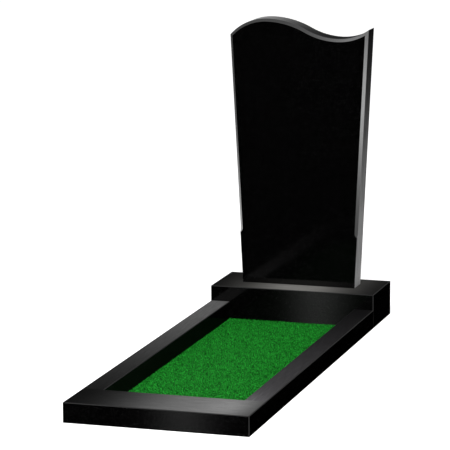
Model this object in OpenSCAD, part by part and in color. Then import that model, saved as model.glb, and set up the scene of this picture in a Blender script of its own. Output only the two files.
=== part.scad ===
// A grave memorial in black granite: a wave-topped headstone on a plinth,
// with a low kerb frame in front of it and a bed of short turf inside the frame.
// Millimetres. The origin is at ground level, under the middle of the footprint.
// The memorial faces -Y, and +Z is up.

/* [Frame] */
// Width of the plinth and of the kerb frame
frame_w = 600; // [480:10:900]
// Length of the kerb frame, from the plinth to its front edge
frame_len = 1500; // [900:10:2200]
// Height of the kerbs
kerb_h = 65; // [40:1:110]
// Thickness of the two side kerbs
side_kerb_w = 70; // [40:1:110]
// Depth of the front kerb, front to back
front_kerb_d = 180; // [60:5:260]

/* [Plinth] */
// Depth of the plinth, front to back
plinth_d = 250; // [200:5:400]
// Height of the plinth
plinth_h = 120; // [115:1:220]

/* [Headstone] */
// Height of the headstone at the crest of its wave
stele_h = 954; // [600:1:1500]
// Thickness of the headstone
stele_t = 85; // [50:1:120]
// Width at the foot
stele_foot_w = 415; // [320:1:560]
// Width at the level of the left shoulder
stele_shoulder_w = 505; // [420:1:700]
// Set-back of the headstone's face from the front of the plinth
stele_setback = 90; // [20:1:110]

/* [Wave top] */
// Crest of the wave, left of the middle
crest_offset = 118; // [80:1:130]
// Trough of the wave, right of the middle
trough_offset = 145; // [100:1:165]
// Drop from the crest to the left shoulder
left_drop = 60; // [30:1:75]
// Drop from the crest to the trough
trough_drop = 65; // [45:1:90]
// Rise from the trough to the right shoulder
right_rise = 35; // [15:1:42]

/* [Edges] */
// Width of the 45 degree bevel round the headstone's face
bevel_w = 10; // [6:0.5:20]
// Height above the plinth at which the bevel stops
bevel_stop_h = 182; // [80:1:300]
// Tip radius of the cutter whose round end forms the bevel's stop
bevel_tip_r = 10; // [4:1:30]
// Eased edge of the plinth and kerbs
arris = 2.5; // [1:0.5:6]
// Eased edge of the headstone's back and of its plain lower corners
stele_arris = 1.5; // [0.5:0.5:4]

/* [Turf] */
// Height of the turf's surface above the ground
turf_h = 6; // [3:1:30]
// Gap between the turf and the stone round it
turf_gap = 0.5; // [0.2:0.1:3]

/* [Hidden] */

granite = [0.02, 0.02, 0.022];
grass = [0.10, 0.43, 0.13];

$fn = 96;
past = 2;            // how far a cutter stands past what it cuts
crest_share = 0.55;  // the convex arc's share of the fall from crest to trough

// Ground plan: the whole footprint is centred on the origin.
front_y = -(frame_len + plinth_d) / 2;
plinth_y = front_y + frame_len;
stele_y = plinth_y + stele_setback;
bed_y = front_y + front_kerb_d;
side_kerb_len = plinth_y - bed_y;
bed_half_w = frame_w / 2 - side_kerb_w;

// Wave: four tangent arcs, level at the crest and at the trough. Heights are above the foot,
// and centres are [x, height]. The two middle arcs meet on the line through their centres.
left_h = stele_h - left_drop;
trough_h = stele_h - trough_drop;
right_h = trough_h + right_rise;
left_r = arc_radius(half_w(left_h) - crest_offset, left_drop);
right_r = arc_radius(half_w(right_h) - trough_offset, right_rise);
fall_r = arc_radius(crest_offset + trough_offset, trough_drop);
crest_r = fall_r * crest_share;
trough_r = fall_r - crest_r;
left_c = [-crest_offset, stele_h - left_r];
crest_c = [-crest_offset, stele_h - crest_r];
trough_c = [trough_offset, trough_h + trough_r];
right_c = [trough_offset, trough_h + right_r];
wave_top = stele_h + past;

// Sides: they lean outwards by the same angle.
lean = atan((stele_shoulder_w - stele_foot_w) / 2 / left_h);
side_len = stele_h / cos(lean) + stele_t;
bevel_runout = sqrt(pow(bevel_tip_r + bevel_w, 2) - pow(bevel_tip_r, 2));
bevel_start = bevel_stop_h / cos(lean) + bevel_runout;

// Radius of the arc that is level at one end and climbs `rise` over `run`.
function arc_radius(run, rise) = (run * run + rise * rise) / (2 * rise);

// Half the headstone's width at height z above its foot.
function half_w(z) = stele_foot_w / 2 + (stele_shoulder_w - stele_foot_w) / 2 * z / left_h;

// Corners of a w by h rectangle, each cut at 45 degrees by its own amount:
// e holds the cuts at the low left, low right, high right and high left corner.
function cut_corner(p, a, b, e) = e > 0 ? [p + a * e, p + b * e] : [p];
function eased_rect(w, h, e) = concat(
    cut_corner([0, 0], [0, 1], [1, 0], e[0]),
    cut_corner([w, 0], [-1, 0], [0, 1], e[1]),
    cut_corner([w, h], [0, -1], [-1, 0], e[2]),
    cut_corner([0, h], [1, 0], [0, -1], e[3]));

// A bar along Y with a w by h section, its corner on the origin.
module bar(w, length, h, e) {
    translate([0, length, 0]) rotate([90, 0, 0])
        linear_extrude(length) polygon(eased_rect(w, h, e));
}

// A bar along Y whose ends and upright corners are eased too. plan gives the cuts seen
// from above, and side the cuts seen from the right.
module block(w, length, h, front, side, plan) {
    intersection() {
        bar(w, length, h, front);
        rotate([90, 0, 90])
            linear_extrude(w) polygon(eased_rect(length, h, side));
        linear_extrude(h) polygon(eased_rect(w, length, plan));
    }
}

// A slab of the headstone's thickness, from an outline of [x, height] points.
// Inside stele(), x runs across, y is depth from the face, and z is height above the foot.
module slab(outline) {
    translate([0, stele_t, 0]) rotate([90, 0, 0])
        linear_extrude(stele_t) polygon(outline);
}

// A solid of revolution through the slab, centred on c. Its profile is [radius, depth].
module turned(c, profile) {
    translate([c.x, 0, c.y]) rotate([-90, 0, 0])
        rotate_extrude() polygon(profile);
}

// The stone under a convex arc, with the bevel on its face and the arris on its back.
module crown(c, r) {
    turned(c, [[0, 0], [r - bevel_w, 0], [r, bevel_w], [r, stele_t - stele_arris],
               [r - stele_arris, stele_t], [0, stele_t]]);
}

// What a concave arc takes away, flared by the bevel at the face and the arris at the back.
module hollow(c, r) {
    turned(c, [[0, -past], [r + bevel_w + past, -past], [r, bevel_w],
               [r, stele_t - stele_arris], [r + stele_arris + past, stele_t + past],
               [0, stele_t + past]]);
}

// Cuts a 45 degree edge of width w down the right side, from `start` along it to past the top.
// The cutter's round tip forms the lower end.
module edge_cut(w, start, tip_r) {
    translate([stele_foot_w / 2, 0, 0]) rotate([0, lean, 0]) {
        translate([0, 0, start]) linear_extrude(side_len)
            polygon([[-w - past, -past], [past, -past], [past, w + past]]);
        if (tip_r > 0)
            translate([tip_r, -past, start]) rotate([-90, 0, 0])
                cylinder(h = w + 2 * past, r1 = tip_r + w + past, r2 = tip_r - past);
    }
}

// The headstone: a tapered slab with a wave top and a stopped bevel round its face.
module stele() {
    color(granite)
        translate([0, stele_y, plinth_h])
            difference() {
                union() {
                    slab([[-stele_foot_w / 2, 0], [stele_foot_w / 2, 0],
                          [half_w(crest_c.y), crest_c.y], crest_c, left_c,
                          [-half_w(left_c.y), left_c.y]]);
                    intersection() {
                        slab([[-half_w(left_c.y), left_c.y], left_c,
                              [left_c.x, wave_top], [-half_w(wave_top), wave_top]]);
                        crown(left_c, left_r);
                    }
                    intersection() {
                        slab([crest_c, trough_c, [crest_c.x, trough_c.y]]);
                        crown(crest_c, crest_r);
                    }
                    difference() {
                        slab([crest_c, [trough_c.x, crest_c.y], trough_c]);
                        hollow(trough_c, trough_r);
                    }
                    difference() {
                        slab([[right_c.x, crest_c.y], [half_w(crest_c.y), crest_c.y],
                              [half_w(wave_top), wave_top], [right_c.x, wave_top]]);
                        hollow(right_c, right_r);
                    }
                }
                for (side = [0, 1]) mirror([side, 0, 0]) {
                    edge_cut(bevel_w, bevel_start, bevel_tip_r);
                    edge_cut(stele_arris, -past, 0);
                    translate([0, stele_t, 0]) mirror([0, 1, 0])
                        edge_cut(stele_arris, -past, 0);
                }
            }
}

// The plinth: one block, eased round its top and down its corners.
module plinth() {
    color(granite)
        translate([-frame_w / 2, plinth_y, 0])
            block(frame_w, plinth_d, plinth_h,
                  front = [0, 0, arris, arris],
                  side = [0, 0, arris, arris],
                  plan = [arris, arris, arris, arris]);
}

// The front kerb: square where the side kerbs meet it, and eased along the bed between them.
module front_kerb() {
    color(granite)
        translate([-frame_w / 2, front_y, 0])
            difference() {
                block(frame_w, front_kerb_d, kerb_h,
                      front = [0, 0, arris, arris],
                      side = [0, 0, 0, arris],
                      plan = [arris, arris, 0, 0]);
                translate([side_kerb_w, front_kerb_d, kerb_h])
                    rotate([90, 0, 90])
                        linear_extrude(2 * bed_half_w)
                            polygon([[-arris, 0], [0, -arris], [past, -arris],
                                     [past, past], [-arris, past]]);
            }
}

// A side kerb: square at both ends, and eased along both of its top edges.
module side_kerb(x) {
    color(granite)
        translate([x, bed_y, 0])
            bar(side_kerb_w, side_kerb_len, kerb_h, [0, 0, arris, arris]);
}

module left_kerb() {
    side_kerb(-frame_w / 2);
}

module right_kerb() {
    side_kerb(bed_half_w);
}

// The turf: one flat mat cut to the bed.
module turf() {
    color(grass)
        translate([-bed_half_w + turf_gap, bed_y + turf_gap, 0])
            cube([2 * (bed_half_w - turf_gap), side_kerb_len - 2 * turf_gap, turf_h]);
}

stele();
plinth();
front_kerb();
left_kerb();
right_kerb();
turf();
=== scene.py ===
"""A grave memorial in black granite. A wave-topped headstone stands on its plinth, and in front of
it a kerb frame lies round a bed of short turf."""
import math

import bmesh
import bpy
import numpy as np
from mathutils import Matrix, Vector


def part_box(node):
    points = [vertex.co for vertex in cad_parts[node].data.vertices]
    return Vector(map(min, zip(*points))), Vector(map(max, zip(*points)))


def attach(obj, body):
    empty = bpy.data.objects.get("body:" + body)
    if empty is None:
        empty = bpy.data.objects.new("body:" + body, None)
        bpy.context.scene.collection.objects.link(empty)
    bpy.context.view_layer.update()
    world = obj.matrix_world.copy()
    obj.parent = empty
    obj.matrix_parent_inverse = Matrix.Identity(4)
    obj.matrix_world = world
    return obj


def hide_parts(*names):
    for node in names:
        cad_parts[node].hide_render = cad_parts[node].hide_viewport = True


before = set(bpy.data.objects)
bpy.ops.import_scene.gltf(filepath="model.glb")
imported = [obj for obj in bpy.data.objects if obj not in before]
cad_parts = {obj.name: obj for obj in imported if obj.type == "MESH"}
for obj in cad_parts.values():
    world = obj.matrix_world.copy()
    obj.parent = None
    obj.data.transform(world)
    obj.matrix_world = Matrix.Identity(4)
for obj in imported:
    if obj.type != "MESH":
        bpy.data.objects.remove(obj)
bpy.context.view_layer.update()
scene = bpy.context.scene


# ---------------------------------------------------------------------------------------------
# View. A long lens from the front right, looking down from twice the memorial's height, so that
# the front, the right side and every top surface show.
# ---------------------------------------------------------------------------------------------
camera_place = Vector((2.623, -8.478, 2.187))
camera_turn = math.radians(17.49)
camera_dip = math.radians(10.935)
camera_roll = math.radians(-0.347)

lens = bpy.data.cameras.new("camera")
lens.lens = 218.4
lens.sensor_width = 36.0
lens.clip_end = 200.0
camera = bpy.data.objects.new("camera", lens)
scene.collection.objects.link(camera)
camera.matrix_world = (
    Matrix.Translation(camera_place)
    @ Matrix.Rotation(camera_turn, 4, "Z")
    @ Matrix.Rotation(math.pi / 2 - camera_dip, 4, "X")
    @ Matrix.Rotation(camera_roll, 4, "Z")
)
scene.camera = camera
scene.view_settings.view_transform = "Standard"


# ---------------------------------------------------------------------------------------------
# Studio. A pale floor under a wide soft dome, and a big round key light high in front. What the
# stone mirrors is darker: soft upright strips above the horizon, and a dim band below it, broken
# by two black screens that the front and the right faces mirror towards the view.
# ---------------------------------------------------------------------------------------------
def add_node(tree, kind, inputs=None, **settings):
    """Adds a shader node, sets its settings, and links or sets each named input."""
    node = tree.nodes.new(kind)
    for name, value in settings.items():
        setattr(node, name, value)
    for name, value in (inputs or {}).items():
        if isinstance(value, bpy.types.NodeSocket):
            tree.links.new(value, node.inputs[name])
        else:
            node.inputs[name].default_value = value
    return node


def maths(tree, operation, first, second=0.0, third=0.0):
    """One step of arithmetic between values or sockets."""
    return add_node(tree, "ShaderNodeMath", {0: first, 1: second, 2: third}, operation=operation).outputs[0]


def ease(tree, value, start, end, low, high):
    """A smooth step: low up to start, high past end."""
    inputs = {"Value": value, "From Min": start, "From Max": end, "To Min": low, "To Max": high}
    return add_node(tree, "ShaderNodeMapRange", inputs, interpolation_type="SMOOTHSTEP").outputs[0]


dome_light = 0.75
strip_count, strip_light, strip_depth = 54, 0.36, 0.46
band_light = 0.45
ground_light = 0.10
zenith_share = 0.45
# Levels are sines of the angle above the horizon: where a light starts to change, and where it ends.
strip_foot, strip_head = (0.02, 0.30), (0.45, 0.90)
band_foot, band_head = (-0.55, -0.10), (0.0, 0.20)
ground_edge = (-0.75, -0.32)
# The cosine of twice the angle from a screen's middle, in the same way.
screen_edge = (0.75, 0.0)

world = bpy.data.worlds.new("studio")
world.use_nodes = True
world.cycles.sampling_method = "NONE"
scene.world = world
sky = world.node_tree
sky.nodes.clear()
way = add_node(sky, "ShaderNodeSeparateXYZ", {0: add_node(sky, "ShaderNodeTexCoord").outputs["Generated"]})
height = way.outputs["Z"]
bearing = maths(sky, "ARCTAN2", way.outputs["X"], way.outputs["Y"])
across = maths(sky, "MULTIPLY", maths(sky, "ADD", bearing, camera_turn), strip_count)
strips = maths(sky, "MULTIPLY_ADD", maths(sky, "COSINE", across), strip_depth, 1 - strip_depth)
rising = ease(sky, height, *strip_foot, 0.0, strip_light)
above = maths(sky, "MULTIPLY", rising, ease(sky, height, *strip_head, 1.0, zenith_share))
screens = maths(sky, "MULTIPLY", maths(sky, "SUBTRACT", bearing, camera_turn), 2.0)
between = ease(sky, maths(sky, "COSINE", screens), *screen_edge, 0.0, band_light)
band_low = ease(sky, height, *band_foot, 0.0, 1.0)
band = maths(sky, "MULTIPLY", band_low, ease(sky, height, *band_head, 1.0, 0.0))
ground = ease(sky, height, *ground_edge, ground_light, 0.0)
below = maths(sky, "MULTIPLY_ADD", band, between, ground)
mirrored = maths(sky, "MULTIPLY_ADD", above, strips, below)
path = add_node(sky, "ShaderNodeLightPath")
plain = maths(sky, "MULTIPLY_ADD", path.outputs["Is Camera Ray"], 1 - dome_light, dome_light)
strength = add_node(
    sky, "ShaderNodeMix", {"Factor": path.outputs["Is Glossy Ray"], "A": plain, "B": mirrored}
).outputs[0]
shine = add_node(sky, "ShaderNodeBackground", {"Strength": strength})
add_node(sky, "ShaderNodeOutputWorld", {"Surface": shine.outputs[0]})

key_place = Vector((1.2, -4.6, 5.0))
key_light = bpy.data.lights.new("key", "AREA")
key_light.shape = "DISK"
key_light.size = 3.2
key_light.energy = 560.0
key = bpy.data.objects.new("key", key_light)
key.matrix_world = Matrix.Translation(key_place) @ key_place.to_track_quat("Z", "Y").to_matrix().to_4x4()
key.visible_glossy = False
scene.collection.objects.link(key)

floor_drop = 0.0005
floor_reach = 30.0
floor_mesh = bpy.data.meshes.new("floor")
floor_corners = [
    (x * floor_reach, y * floor_reach, -floor_drop) for x, y in ((-1, -1), (1, -1), (1, 1), (-1, 1))
]
floor_mesh.from_pydata(floor_corners, [], [(0, 1, 2, 3)])
floor = bpy.data.objects.new("floor", floor_mesh)
floor.visible_glossy = False
scene.collection.objects.link(floor)
paper = bpy.data.materials.new("pale_floor")
paper.use_nodes = True
paper_look = paper.node_tree.nodes["Principled BSDF"]
paper_look.inputs["Base Color"].default_value = (0.86, 0.86, 0.86, 1.0)
paper_look.inputs["Roughness"].default_value = 1.0
paper_look.inputs["Specular IOR Level"].default_value = 0.0
paper_look.inputs["Emission Color"].default_value = (1.0, 1.0, 1.0, 1.0)
paper_look.inputs["Emission Strength"].default_value = 0.50
floor_mesh.materials.append(paper)


# ---------------------------------------------------------------------------------------------
# Headstone. One slab of black granite, sawn to a wave along its top. Its two faces are mirror
# polished. The edges are only ground, so they are greyer, and a 45 degree bevel runs round the
# face and stops short of the foot in the round run-out of the cutter. Their lighter patches are
# painted highlights.
# ---------------------------------------------------------------------------------------------
foot_w, shoulder_w = 0.415, 0.505
crest_x, trough_x = -0.118, 0.145
left_drop, trough_drop, right_rise = 0.060, 0.065, 0.035
crest_share = 0.55
bevel_w, bevel_stop, cutter_r = 0.010, 0.182, 0.010
slab_arris = 0.0015
corner_ease = 0.0004
corner_points = 4
arc_points = 25
stop_points = 12

stele_low, stele_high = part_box("stele")
stele_h = stele_high.z - stele_low.z
stele_t = stele_high.y - stele_low.y
left_h = stele_h - left_drop
trough_h = stele_h - trough_drop
right_h = trough_h + right_rise
lean = math.atan((shoulder_w - foot_w) / 2 / left_h)
runout = math.sqrt((cutter_r + bevel_w) ** 2 - cutter_r**2)


def half_width(z):
    """Half the headstone's width at a height above its foot: the sides are straight lines."""
    return foot_w / 2 + z * math.tan(lean)


def arc_radius(run, rise):
    """Radius of the arc that is level at one end and climbs the rise over the run."""
    return (run * run + rise * rise) / (2 * rise)


def corner_angle(centre, radius, side, inset):
    """Where an arc round the centre meets a side line moved in by the inset: the side's outward
    normal, turned back by the arc cosine of the line's distance from the centre over the radius."""
    normal = math.pi / 2 - side * (math.pi / 2 + lean)
    start = np.array([side * foot_w / 2, 0.0])
    reach = (start - centre) @ (math.cos(normal), math.sin(normal))
    return normal - np.arccos((reach - inset) / radius)


left_r = arc_radius(half_width(left_h) + crest_x, left_drop)
right_r = arc_radius(half_width(right_h) - trough_x, right_rise)
fall_r = arc_radius(trough_x - crest_x, trough_drop)
crest_r, trough_r = fall_r * crest_share, fall_r * (1 - crest_share)
left_c = np.array([crest_x, stele_h - left_r])
crest_c = np.array([crest_x, stele_h - crest_r])
trough_c = np.array([trough_x, trough_h + trough_r])
right_c = np.array([trough_x, trough_h + right_r])


def bevel_reach(z):
    """How far the bevel bites at a height above the foot, across the face and down the edge. Below
    the run-out's start it follows the cutter's round end, and its cone, down to a plain arris."""
    short = np.clip((bevel_stop + runout * math.cos(lean) - z) / math.cos(lean), 0.0, runout)
    across = np.sqrt((cutter_r + bevel_w) ** 2 - short**2) - cutter_r
    down = cutter_r + bevel_w - np.sqrt(cutter_r**2 + short**2)
    return np.maximum(across, slab_arris), np.maximum(down, slab_arris)


def turned_corner(before, corner, after):
    """A rounded corner: points on the parabola that leaves `before` and meets `after`, tangent to
    both legs at the corner."""
    t = np.linspace(0, 1, corner_points)[:, None, None]
    return (1 - t) ** 2 * before + 2 * t * (1 - t) * corner + t**2 * after


def edge_profile(across, down):
    """The slab's edge at each point of its outline, from the face to the back, as (inset, depth)
    pairs in an array of profile points by outline points by two."""
    zero = np.zeros_like(across)
    face = np.stack([across, zero], 1)
    edge = np.stack([zero, down], 1)
    back_edge = np.stack([zero, zero + stele_t - slab_arris], 1)
    back = np.stack([zero + slab_arris, zero + stele_t], 1)
    legs = [face + (corner_ease, 0), face, edge, back_edge, back, back + (corner_ease, 0)]
    corners = []
    for before, corner, after in zip(legs, legs[1:], legs[2:]):
        step = [leg - corner for leg in (before, after)]
        ends = [corner + s * corner_ease / np.linalg.norm(s, axis=1, keepdims=True) for s in step]
        corners.append(turned_corner(ends[0], corner, ends[1]))
    return np.concatenate(corners)


def wave_points(inset):
    """The wave, moved in by each inset: four arcs in a row, of which the two outer ones end on the
    side lines and the inner two meet on the line through their centres. Angles run clockwise."""
    up, down = math.pi / 2, -math.pi / 2
    fall = math.atan2(*(trough_c - crest_c)[::-1])
    left_end = corner_angle(left_c, left_r - inset, -1, inset)
    right_end = corner_angle(right_c, right_r + inset, 1, inset)
    arcs = [
        (left_c, left_r - inset, left_end, up),
        (crest_c, crest_r - inset, up, fall),
        (trough_c, trough_r + inset, fall - math.pi, down),
        (right_c, right_r + inset, down, right_end),
    ]
    share = np.linspace(0, 1, arc_points)
    wave = []
    for centre, radius, start, end in arcs:
        start, end = [np.broadcast_to(a, inset.shape)[:, None] for a in (start, end)]
        angle = start + (end - start) * share[min(len(wave), 1) :]
        wave.append(centre + radius[:, None, None] * np.stack([np.cos(angle), np.sin(angle)], -1))
    return np.concatenate(wave, 1)


low_z = np.concatenate([[0.0], np.linspace(bevel_stop, bevel_stop + runout, stop_points)])


def headstone_surface():
    """The edge profile carried along the outline: up the left side, over the wave's four arcs and
    down the right side. A side's points lie at half the width at their height, less their inset
    over the cosine of the lean. Returns an array of profile by outline by three."""
    low_across, low_down = bevel_reach(low_z)
    full = edge_profile(np.array([bevel_w]), np.array([bevel_w]))[:, 0]
    inset, depth = full.T
    low = edge_profile(low_across, low_down)
    wave = wave_points(inset)

    z = np.broadcast_to(low_z, low.shape[:2])
    x = half_width(z) - low[..., 0] / math.cos(lean)
    left, right = np.stack([-x, z], -1), np.stack([x, z], -1)
    outline = np.concatenate([left, wave, right[:, ::-1]], 1)
    deep = np.broadcast_to(depth[:, None], outline.shape[:2]).copy()
    deep[:, : len(low_z)] = low[..., 1]
    deep[:, -len(low_z) :] = low[:, ::-1, 1]
    points = np.stack([outline[..., 0], deep, outline[..., 1]], -1)
    return points + np.array([0.0, stele_low.y, stele_low.z])


def stone_object(name, vertices, faces, face_material, materials):
    """Makes a stone piece from whole arrays: doubles are merged, flat faces keep their own normal
    and the eased edges between them are shaded smooth."""
    merge_gap = 1e-6
    sharp_from = math.radians(30)
    mesh = bpy.data.meshes.new(name)
    mesh.from_pydata(vertices, [], faces)
    for material in materials:
        mesh.materials.append(material)
    mesh.polygons.foreach_set("material_index", face_material)
    shell = bmesh.new()
    shell.from_mesh(mesh)
    bmesh.ops.remove_doubles(shell, verts=shell.verts, dist=merge_gap)
    shell.to_mesh(mesh)
    shell.free()
    mesh.shade_smooth()
    mesh.set_sharp_from_angle(angle=sharp_from)
    piece = bpy.data.objects.new(name, mesh)
    scene.collection.objects.link(piece)
    weighted = piece.modifiers.new("flat_faces", "WEIGHTED_NORMAL")
    weighted.weight = 100
    weighted.keep_sharp = True
    return piece


def grid_faces(rows, columns):
    """Quads between neighbouring points of a rows by columns grid, as an array of four indices."""
    index = np.arange(rows * columns).reshape(rows, columns)
    quads = np.stack([index[:-1, :-1], index[:-1, 1:], index[1:, 1:], index[1:, :-1]], -1)
    return quads.reshape(-1, 4)


def new_group(name, inputs, outputs):
    """An empty shader node group with named sockets: each input is (name, kind, default)."""
    group = bpy.data.node_groups.new(name, "ShaderNodeTree")
    for label, kind, default in inputs:
        group.interface.new_socket(label, in_out="INPUT", socket_type=kind).default_value = default
    for label, kind in outputs:
        group.interface.new_socket(label, in_out="OUTPUT", socket_type=kind)
    return group, add_node(group, "NodeGroupInput"), add_node(group, "NodeGroupOutput")


def signed_noise(tree, inputs):
    """Noise from about -1 to 1: nearly all of Blender's lies from a quarter to three quarters."""
    noise = add_node(tree, "ShaderNodeTexNoise", inputs)
    return maths(tree, "MULTIPLY_ADD", noise.outputs[0], 4.0, -2.0)


def crystal_group():
    """Grain of a fine black granite. Flake is a sparse mask of small bright crystals, one Voronoi
    cell each, and Grain is the mottle of its darker minerals, from -1 to 1."""
    flake_edge = (0.25, 0.6)
    mottle_fineness = 420.0
    group, given, made = new_group(
        "granite_crystals",
        [("Flake Size", "NodeSocketFloat", 0.0016), ("Flake Share", "NodeSocketFloat", 0.06)],
        [("Flake", "NodeSocketFloat"), ("Grain", "NodeSocketFloat")],
    )
    place = add_node(group, "ShaderNodeTexCoord").outputs["Object"]
    density = maths(group, "DIVIDE", 1.0, given.outputs["Flake Size"])
    cells = add_node(group, "ShaderNodeTexVoronoi", {"Vector": place, "Scale": density})
    lot = add_node(group, "ShaderNodeSeparateColor", {0: cells.outputs["Color"]}).outputs[0]
    picked = maths(group, "LESS_THAN", lot, given.outputs["Flake Share"])
    middle = ease(group, cells.outputs["Distance"], *flake_edge, 1.0, 0.0)
    group.links.new(maths(group, "MULTIPLY", picked, middle), made.inputs["Flake"])
    mottle = signed_noise(group, {"Vector": place, "Scale": mottle_fineness, "Detail": 3.0})
    group.links.new(mottle, made.inputs["Grain"])
    return group


def painted_highlight_group():
    """A painted highlight, lightness painted into a colour in place of light: full at the centre,
    falling off as a bell curve over the reach along each axis."""
    group, given, made = new_group(
        "painted_highlight_bell",
        [("Centre", "NodeSocketVector", (0, 0, 0)), ("Reach", "NodeSocketVector", (1, 1, 1))],
        [("Amount", "NodeSocketFloat")],
    )
    place = add_node(group, "ShaderNodeTexCoord").outputs["Object"]
    away = add_node(
        group, "ShaderNodeVectorMath", {0: place, 1: given.outputs["Centre"]}, operation="SUBTRACT"
    ).outputs[0]
    scaled = add_node(
        group, "ShaderNodeVectorMath", {0: away, 1: given.outputs["Reach"]}, operation="DIVIDE"
    ).outputs[0]
    square = add_node(group, "ShaderNodeVectorMath", {0: scaled, 1: scaled}, operation="DOT_PRODUCT")
    bell = maths(group, "EXPONENT", maths(group, "MULTIPLY", square.outputs["Value"], -1.0))
    group.links.new(bell, made.inputs["Amount"])
    return group


def streak_group():
    """Fine grinding streaks, from -1 to 1: noise drawn out along the axes of small Fineness."""
    group, given, made = new_group(
        "grinding_streaks",
        [("Fineness", "NodeSocketVector", (30, 900, 30))],
        [("Streak", "NodeSocketFloat")],
    )
    place = add_node(group, "ShaderNodeTexCoord").outputs["Object"]
    drawn = add_node(
        group, "ShaderNodeVectorMath", {0: place, 1: given.outputs["Fineness"]}, operation="MULTIPLY"
    ).outputs[0]
    lines = signed_noise(group, {"Vector": drawn, "Scale": 1.0, "Detail": 2.0})
    group.links.new(lines, made.inputs["Streak"])
    return group


crystals, painted_highlight, streaks = crystal_group(), painted_highlight_group(), streak_group()
mottle_share = 0.22
darkest_streak = 0.1
gloss_share = 0.15


def granite(name, painted_highlights=(), dark=0.0004, tint=(1.0, 1.0, 1.0), fineness=(30, 900, 30), rough=0.09,
            streak=0.0, relief=0.0, specular=0.5, flake=0.02):
    """Black granite. Painted highlights, each (centre, reach, lightness), add light painted into its
    colour. A ground surface takes streaks with a relief in metres. A polished one shows its
    crystals, and painted highlights where it is given them."""
    material = bpy.data.materials.new(name)
    material.use_nodes = True
    tree = material.node_tree
    look = tree.nodes["Principled BSDF"]
    stone = add_node(tree, "ShaderNodeGroup", node_tree=crystals)
    value = dark
    # Each painted highlight adds light painted into the base colour.
    for centre, reach, lightness in painted_highlights:
        glow = add_node(tree, "ShaderNodeGroup", node_tree=painted_highlight)
        glow.inputs["Centre"].default_value = centre
        glow.inputs["Reach"].default_value = reach
        value = maths(tree, "MULTIPLY_ADD", glow.outputs["Amount"], lightness, value)
    lines = add_node(tree, "ShaderNodeGroup", node_tree=streaks)
    lines.inputs["Fineness"].default_value = fineness
    wear = maths(tree, "MULTIPLY_ADD", lines.outputs["Streak"], streak, 1.0)
    wear = maths(tree, "MULTIPLY_ADD", stone.outputs["Grain"], mottle_share, wear)
    value = maths(tree, "MULTIPLY", value, maths(tree, "MAXIMUM", wear, darkest_streak))
    value = maths(tree, "MULTIPLY_ADD", stone.outputs["Flake"], flake, value)
    channels = {i: maths(tree, "MULTIPLY", value, share) for i, share in enumerate(tint)}
    colour = add_node(tree, "ShaderNodeCombineColor", channels)
    tree.links.new(colour.outputs[0], look.inputs["Base Color"])
    gloss = maths(tree, "MULTIPLY_ADD", stone.outputs["Grain"], rough * gloss_share, rough)
    tree.links.new(gloss, look.inputs["Roughness"])
    if relief:
        bump = add_node(tree, "ShaderNodeBump", {"Height": lines.outputs["Streak"], "Distance": relief})
        tree.links.new(bump.outputs[0], look.inputs["Normal"])
    look.inputs["IOR"].default_value = 1.55
    look.inputs["Specular IOR Level"].default_value = specular
    return material


polished = granite("polished_granite")
# A reach so long that a painted highlight doesn't change along that axis.
far = 9.0
# Painted highlights on the bevel: one high on the right, one low on the left.
bevel_ground = granite(
    "bevel_granite",
    painted_highlights=[
        ((0.25, 0.0, 0.78), (0.16, far, 0.26), 0.162),
        ((-0.22, 0.0, 0.26), (0.10, far, 0.34), 0.235),
    ],
    dark=0.032,
    rough=0.5,
    streak=0.10,
    relief=0.00002,
    specular=0.1,
)
# Painted highlights on the ground edges: one over the crest of the top, and one on each side towards the
# foot.
edge_ground = granite(
    "edge_granite",
    painted_highlights=[
        ((-0.24, 0.0, 1.06), (0.17, far, 0.16), 0.33),
        ((0.22, 0.0, 0.24), (0.12, far, 0.42), 0.165),
        ((0.21, 0.0, 0.12), (0.12, far, 0.07), 0.17),
        ((-0.22, 0.0, 0.24), (0.08, far, 0.42), 0.165),
        ((-0.21, 0.0, 0.12), (0.08, far, 0.07), 0.17),
    ],
    dark=0.003,
    fineness=(10, 110, 10),
    rough=0.55,
    streak=0.30,
    relief=0.00006,
    specular=0.04,
)

rows = headstone_surface()
profile_n, outline_n = rows.shape[:2]
strip = grid_faces(profile_n, outline_n)

# Front and back are each a ladder of quads up to where the stop ends, and one face from there up.
rung = np.arange(len(low_z) - 1)
ladder = np.stack([rung, outline_n - 1 - rung, outline_n - 2 - rung, rung + 1], 1)
crown_loop = np.arange(len(low_z) - 1, outline_n - len(low_z) + 1)[::-1]
face = ladder.tolist() + [crown_loop.tolist()]
back = [[(profile_n - 1) * outline_n + i for i in reversed(loop)] for loop in face]
left_foot = [k * outline_n for k in range(profile_n)]
right_foot = [k * outline_n + outline_n - 1 for k in range(profile_n)]
foot_loop = left_foot + right_foot[::-1]

# The bevel is the row between the first two rounded corners, with the next row on either side. The
# rows before it belong to the polished face, and so does what is left of the bevel below its stop.
bevel_row = corner_points - 1
strip_row = np.repeat(np.arange(profile_n - 1), outline_n - 1)
strip_column = np.tile(np.arange(outline_n - 1), profile_n - 1)
near_bevel = np.abs(strip_row - bevel_row) <= 1
below_stop = (strip_column == 0) | (strip_column == outline_n - 2)
strip_material = np.where(near_bevel, 1, 2)
strip_material[(strip_row < bevel_row - 1) | (near_bevel & below_stop)] = 0
stele = stone_object(
    "headstone",
    rows.reshape(-1, 3).tolist(),
    strip.tolist() + face + back + [foot_loop],
    strip_material.tolist() + [0] * (len(face) + len(back)) + [2],
    [polished, bevel_ground, edge_ground],
)
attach(stele, "root")
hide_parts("stele")


# ---------------------------------------------------------------------------------------------
# Plinth. One block, wider than the headstone, which stands on it. Its sides are polished like
# the kerbs', with a faint painted reflection band across front and back; its top is honed, with a
# soft grey painted highlight in the middle of its length, and its eased arrises are only ground.
# ---------------------------------------------------------------------------------------------
block_arris = 0.0025
round_points = 6
LEFT, RIGHT, FRONT, BACK, PLAIN = (-1, 0), (1, 0), (0, -1), (0, 1), (0, 0)


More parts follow.
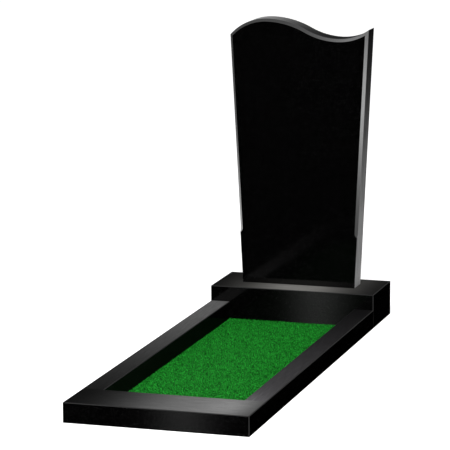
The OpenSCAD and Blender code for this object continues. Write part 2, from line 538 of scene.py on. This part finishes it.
def plan_corner(x, y, *sides, radius=0.0):
    """One corner of a plan outline, as rows of (x, y, inward x, inward y). A round corner turns from
    its first side's outward normal to its second's. A square end has one row, for its eased side.
    Where the easing of one side starts or stops there are two, and PLAIN stands for the uneased."""
    turn = np.array(sides, float)
    if not radius:
        return np.hstack([np.broadcast_to((x, y), turn.shape), -turn])
    angle = np.linspace(0, math.pi / 2, round_points)[:, None]
    normal = np.cos(angle) * turn[0] + np.sin(angle) * turn[1]
    return np.hstack([(x, y) - radius * turn.sum(0) + radius * normal, -normal])


def eased_block(name, corners, bottom, top, materials):
    """A block whose plan outline runs anticlockwise: straight up from the bottom, then in by a quarter
    round where the outline has an inward direction, and closed by its flat top and bottom. The three
    materials are for its sides, its top and its eased edges."""
    plan = np.concatenate(corners)
    bow = np.linspace(0, math.pi / 2, round_points)
    inset = np.concatenate([[0.0], block_arris * (1 - np.cos(bow))])
    level = np.concatenate([[bottom], top - block_arris * (1 - np.sin(bow))])
    flat = plan[None, :, :2] + inset[:, None, None] * plan[None, :, 2:]
    points = np.concatenate([flat, np.broadcast_to(level[:, None, None], (*flat.shape[:2], 1))], 2)
    points = np.concatenate([points, points[:, :1]], 1)
    n_rows, n_columns = points.shape[:2]
    walls = grid_faces(n_rows, n_columns).tolist()
    floor_loop = list(range(n_columns - 1))[::-1]
    top_loop = list(range((n_rows - 1) * n_columns, n_rows * n_columns - 1))
    step = np.diff(points[0, :, :2], axis=0)
    round_corner = np.hypot(*step.T) < block_arris
    eased = np.broadcast_to(round_corner, (n_rows - 1, n_columns - 1)).copy()
    eased[1:] = True
    kinds = np.where(eased, 2, 0).ravel().tolist() + [0, 1]
    faces = walls + [floor_loop, top_loop]
    return stone_object(name, points.reshape(-1, 3).tolist(), faces, kinds, materials)


arris_ground = granite("arris_granite", dark=0.016, rough=0.35, specular=0.3)
# A faint painted reflection: a soft upright band on the polished sides, right of the middle.
plinth_side = granite("plinth_side_granite", painted_highlights=[((0.095, 0.0, 0.0), (0.095, far, far), 0.016)])
# A painted highlight in the middle of the honed top.
plinth_top = granite(
    "plinth_top_granite",
    painted_highlights=[((0.012, 0.0, 0.0), (0.160, far, far), 0.177)],
    dark=0.0008,
    tint=(1.0, 0.98, 0.93),
    fineness=(14, 380, 14),
    rough=0.5,
    streak=0.28,
    relief=0.00003,
    specular=0.015,
)
low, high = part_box("plinth")
plinth = eased_block(
    "plinth_block",
    [
        plan_corner(low.x, low.y, LEFT, FRONT, radius=block_arris),
        plan_corner(high.x, low.y, FRONT, RIGHT, radius=block_arris),
        plan_corner(high.x, high.y, RIGHT, BACK, radius=block_arris),
        plan_corner(low.x, high.y, BACK, LEFT, radius=block_arris),
    ],
    low.z,
    high.z,
    [plinth_side, plinth_top, arris_ground],
)
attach(plinth, "root")
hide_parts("plinth")


# ---------------------------------------------------------------------------------------------
# Kerb frame. Three bars laid on the ground, polished with honed tops: a deep one across the front,
# and two side bars butted between it and the plinth. Only their free edges are eased, so the
# joints close.
# ---------------------------------------------------------------------------------------------
bed_low, bed_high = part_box("left_kerb")[1].x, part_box("right_kerb")[0].x
# Painted highlights on the kerb tops: along the front bar, towards the back of the left bar, towards the
# front of the right bar, and over the front right corner.
corner_painted_highlight = ((0.215, -0.775, 0.0), (0.075, 0.145, far), 0.073)
bar_painted_highlights = {
    "front_kerb": [((0.105, 0.0, 0.0), (0.19, far, far), 0.100), corner_painted_highlight],
    "left_kerb": [((0.0, 0.85, 0.0), (far, 0.93, far), 0.100)],
    "right_kerb": [((0.0, -0.95, 0.0), (far, 1.07, far), 0.040), corner_painted_highlight],
}


def bar_top(node, fineness, tint=(1.0, 1.0, 1.0)):
    """The honed top of one bar, with its own painted highlights and streaks along its length."""
    return granite(
        node + "_top_granite", painted_highlights=bar_painted_highlights[node], dark=0.0008, tint=tint, fineness=fineness,
        rough=0.45, streak=0.30, relief=0.00003, specular=0.01,
    )


# A faint painted reflection: a soft upright band on the front bar's polished sides.
front_side = granite("front_side_granite", painted_highlights=[((0.09, 0.0, 0.0), (0.09, far, far), 0.0075)])
low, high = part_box("front_kerb")
front_bar = eased_block(
    "front_bar",
    [
        plan_corner(low.x, low.y, LEFT, FRONT, radius=block_arris),
        plan_corner(high.x, low.y, FRONT, RIGHT, radius=block_arris),
        plan_corner(high.x, high.y, RIGHT),
        plan_corner(bed_high, high.y, PLAIN, BACK),
        plan_corner(bed_low, high.y, BACK, PLAIN),
        plan_corner(low.x, high.y, LEFT),
    ],
    low.z,
    high.z,
    [front_side, bar_top("front_kerb", (14, 380, 14)), arris_ground],
)
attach(front_bar, "root")
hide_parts("front_kerb")

for node, tint in (("left_kerb", (1.0, 1.0, 1.0)), ("right_kerb", (1.0, 0.97, 1.02))):
    low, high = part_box(node)
    side_bar = eased_block(
        node.replace("kerb", "bar"),
        [
            plan_corner(low.x, low.y, LEFT),
            plan_corner(high.x, low.y, RIGHT),
            plan_corner(high.x, high.y, RIGHT),
            plan_corner(low.x, high.y, LEFT),
        ],
        low.z,
        high.z,
        [polished, bar_top(node, (380, 14, 14), tint), arris_ground],
    )
    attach(side_bar, "root")
    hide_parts(node)


# ---------------------------------------------------------------------------------------------
# Turf. A mat of short artificial grass cut to the bed: a dark backing, and tufts of fine blades
# stitched through it in rows, which lean every way. Polished stone mirrors the backing but not the
# blades, so that it stays near black beside them.
# ---------------------------------------------------------------------------------------------
mat_low, mat_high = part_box("turf")
mat_drop = 0.0040
mat_unevenness, hill_size = 0.0005, 0.09
stitch = 0.0050
stitch_shift = 0.0011
side_margin, end_margin = 0.0035, 0.002
blades_per_tuft = 3
blade_height, height_spread = 0.0052, (0.75, 1.15)
blade_width, width_spread = 0.0016, (0.8, 1.2)
root_depth = 0.001
lean_spread = (0.2, 0.95)
tuft_contrast, blade_contrast, patch_contrast = 0.25, 0.14, 0.08
patch_size = 0.05
strips_of_mat = 4
rng = np.random.default_rng(11)


def smooth_hills(x, y, size):
    """Gentle variation over the mat, from -1 to 1: three crossed sine waves of about one size."""
    x, y = 2 * math.pi / size * np.array([x, y])
    waves = np.sin(x + 0.3 * y), np.sin(0.8 * y - 0.4 * x + 1.7), np.sin(0.5 * x + 0.7 * y + 4.1)
    return sum(waves) / 3


def mat_surface(columns=47, lengths=133):
    """The backing's top: a level grid over the bed, made a little uneven."""
    x = np.linspace(mat_low.x, mat_high.x, columns)
    y = np.linspace(mat_low.y, mat_high.y, lengths)
    x, y = np.meshgrid(x, y)
    z = mat_high.z - mat_drop + mat_unevenness * smooth_hills(x, y, hill_size)
    return np.stack([x, y, z], -1)


def turf_colour(name, dark_green, light_green, from_map):
    """A ramp between two greens, with the blades darkened towards the root as painted shade. On the
    blades the piece's own map gives each blade's shade across and its height up. On the backing
    both come from noise."""
    root_light, tip_light = 0.55, 1.15
    backing_fineness = 300.0
    material = bpy.data.materials.new(name)
    material.use_nodes = True
    tree = material.node_tree
    look = tree.nodes["Principled BSDF"]
    if from_map:
        spot = add_node(tree, "ShaderNodeUVMap", uv_map="OFBake").outputs[0]
        shade, up = add_node(tree, "ShaderNodeSeparateXYZ", {0: spot}).outputs[:2]
    else:
        place = add_node(tree, "ShaderNodeTexCoord").outputs["Object"]
        noise = add_node(tree, "ShaderNodeTexNoise", {"Vector": place, "Scale": backing_fineness})
        shade = up = noise.outputs[0]
    ramp = add_node(tree, "ShaderNodeValToRGB", {"Fac": shade})
    ramp.color_ramp.elements[0].color = (*dark_green, 1.0)
    ramp.color_ramp.elements[1].color = (*light_green, 1.0)
    # On the blades, darker at the root and lighter at the tip: painted shade in the pile. On the backing
    # the same range is random tone.
    bright = ease(tree, up, 0.0, 1.0, root_light, tip_light)
    colour = add_node(
        tree, "ShaderNodeVectorMath", {0: ramp.outputs[0], "Scale": bright}, operation="SCALE"
    ).outputs[0]
    tree.links.new(colour, look.inputs["Base Color"])
    look.inputs["Roughness"].default_value = 0.6
    look.inputs["Specular IOR Level"].default_value = 0.12
    return material


top = mat_surface()
n_rows, n_columns = top.shape[:2]
count = n_rows * n_columns
under = top.copy()
under[..., 2] = mat_low.z
edge = np.arange(count).reshape(n_rows, n_columns)
rim = np.concatenate([edge[0, :-1], edge[:-1, -1], edge[-1, :0:-1], edge[:0:-1, 0]])
skirt = np.stack([rim + count, np.roll(rim, -1) + count, np.roll(rim, -1), rim], 1)
grid = grid_faces(n_rows, n_columns)
mat_mesh = bpy.data.meshes.new("turf_mat")
mat_mesh.from_pydata(
    np.concatenate([top, under]).reshape(-1, 3).tolist(), [],
    grid.tolist() + (grid[:, ::-1] + count).tolist() + skirt.tolist(),
)
backing_green = turf_colour("turf_backing", (0.0012, 0.010, 0.002), (0.0025, 0.026, 0.004), False)
mat_mesh.materials.append(backing_green)
mat = bpy.data.objects.new("turf_mat", mat_mesh)
scene.collection.objects.link(mat)
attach(mat, "root")
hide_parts("turf")
blade_green = turf_colour("turf_blades", (0.0013, 0.098, 0.0049), (0.036, 0.585, 0.0555), True)


def tuft_roots(y_from, y_to):
    """Roots of one strip's blades: stitches on a square grid, shifted at random, with a few blades
    from each."""
    nx = int((mat_high.x - mat_low.x - 2 * side_margin) / stitch)
    ny = int(round((y_to - y_from) / stitch))
    x = np.linspace(mat_low.x + side_margin, mat_high.x - side_margin, nx)
    y = y_from + (np.arange(ny) + 0.5) * (y_to - y_from) / ny
    x, y = [np.repeat(v.ravel(), blades_per_tuft) for v in np.meshgrid(x, y)]
    shift = rng.uniform(-stitch_shift, stitch_shift, (2, len(x)))
    return x + shift[0], y + shift[1]


waist_level, waist_reach, waist_width = 0.55, 0.32, 0.8
blade_keel = 0.5


def blade_surface(x, y):
    """Bent blades as whole arrays. Each is a three-sided spike: a root triangle, a smaller one at
    its waist, about half way up and a third of the way along its lean, and a tip."""
    n = len(x)
    heading = rng.uniform(0, 2 * math.pi, n)
    lean_out = rng.uniform(*lean_spread, n)
    tall = blade_height * rng.uniform(*height_spread, n)
    width = blade_width * rng.uniform(*width_spread, n)
    along = np.stack([np.cos(heading), np.sin(heading), np.zeros(n)], 1)
    across = np.stack([-np.sin(heading), np.cos(heading), np.zeros(n)], 1)
    root = np.stack([x, y, np.full(n, mat_high.z - mat_drop - root_depth)], 1)
    up = np.array([0.0, 0.0, 1.0])
    parts = []
    for level, reach, size in ((0.0, 0.0, 1.0), (waist_level, waist_reach, waist_width)):
        heart = root + up * (level * tall)[:, None] + along * (reach * lean_out * tall)[:, None]
        half = (size * width / 2)[:, None]
        parts += [heart + across * half, heart - across * half, heart + along * half * blade_keel]
    parts.append(root + up * tall[:, None] + along * (lean_out * tall)[:, None])
    return np.stack(parts, 1)


def keep_in_bed(points):
    """Moves blades that would reach into the stone back inside the mat's edges, each as a whole."""
    low = np.array([mat_low.x, mat_low.y])
    high = np.array([mat_high.x, mat_high.y])
    flat = points[..., :2]
    push = np.maximum(low - flat.min(1), 0) - np.maximum(flat.max(1) - high, 0)
    flat += push[:, None, :]
    return points


# A blade's seven points: root 0 to 2, waist 3 to 5, tip 6. Each point has its level up the blade,
# and a small slant in shade from one side of the blade to the other.
side_quads = [(0, 1, 4, 3), (1, 2, 5, 4), (2, 0, 3, 5)]
tip_faces = [(3, 4, 6), (4, 5, 6), (5, 3, 6)]
root_face = [(2, 1, 0)]
loops = side_quads + tip_faces + root_face
corners = np.concatenate(loops)
level = np.array([0.0] * 3 + [waist_level] * 3 + [1.0])
slant = np.array([-0.01, 0.01, 0.0, -0.01, 0.01, 0.0, 0.0])
strip_length = (mat_high.y - mat_low.y) / strips_of_mat
for strip_no in range(strips_of_mat):
    y_from = mat_low.y + strip_no * strip_length
    y_to = y_from + strip_length
    y_from += end_margin * (strip_no == 0)
    y_to -= end_margin * (strip_no == strips_of_mat - 1)
    x, y = tuft_roots(y_from, y_to)
    blades = keep_in_bed(blade_surface(x, y))
    n = len(blades)
    start = np.arange(n)[:, None] * len(level)
    sizes = np.tile([len(loop) for loop in loops], n)
    mesh = bpy.data.meshes.new(f"turf_blades_{strip_no + 1}")
    mesh.vertices.add(n * len(level))
    mesh.vertices.foreach_set("co", blades.ravel())
    mesh.loops.add(n * len(corners))
    mesh.loops.foreach_set("vertex_index", (start + corners).ravel())
    mesh.polygons.add(len(sizes))
    mesh.polygons.foreach_set("loop_start", np.concatenate([[0], np.cumsum(sizes)[:-1]]))
    mesh.update(calc_edges=True)
    tuft_shade = np.repeat(rng.standard_normal(n // blades_per_tuft), blades_per_tuft)
    blade_shade = rng.standard_normal(n)
    patch_shade = smooth_hills(x, y, patch_size)
    shade = 0.5 + tuft_contrast * tuft_shade + blade_contrast * blade_shade + patch_contrast * patch_shade
    shade = np.clip(shade, 0.02, 0.98)
    uv = np.empty((n, len(corners), 2))
    uv[..., 0] = shade[:, None] + slant[corners]
    uv[..., 1] = level[corners]
    mesh.uv_layers.new(name="OFBake").uv.foreach_set("vector", uv.ravel())
    mesh.materials.append(blade_green)
    patch = bpy.data.objects.new(mesh.name, mesh)
    scene.collection.objects.link(patch)
    patch.visible_glossy = False
    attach(patch, "root")
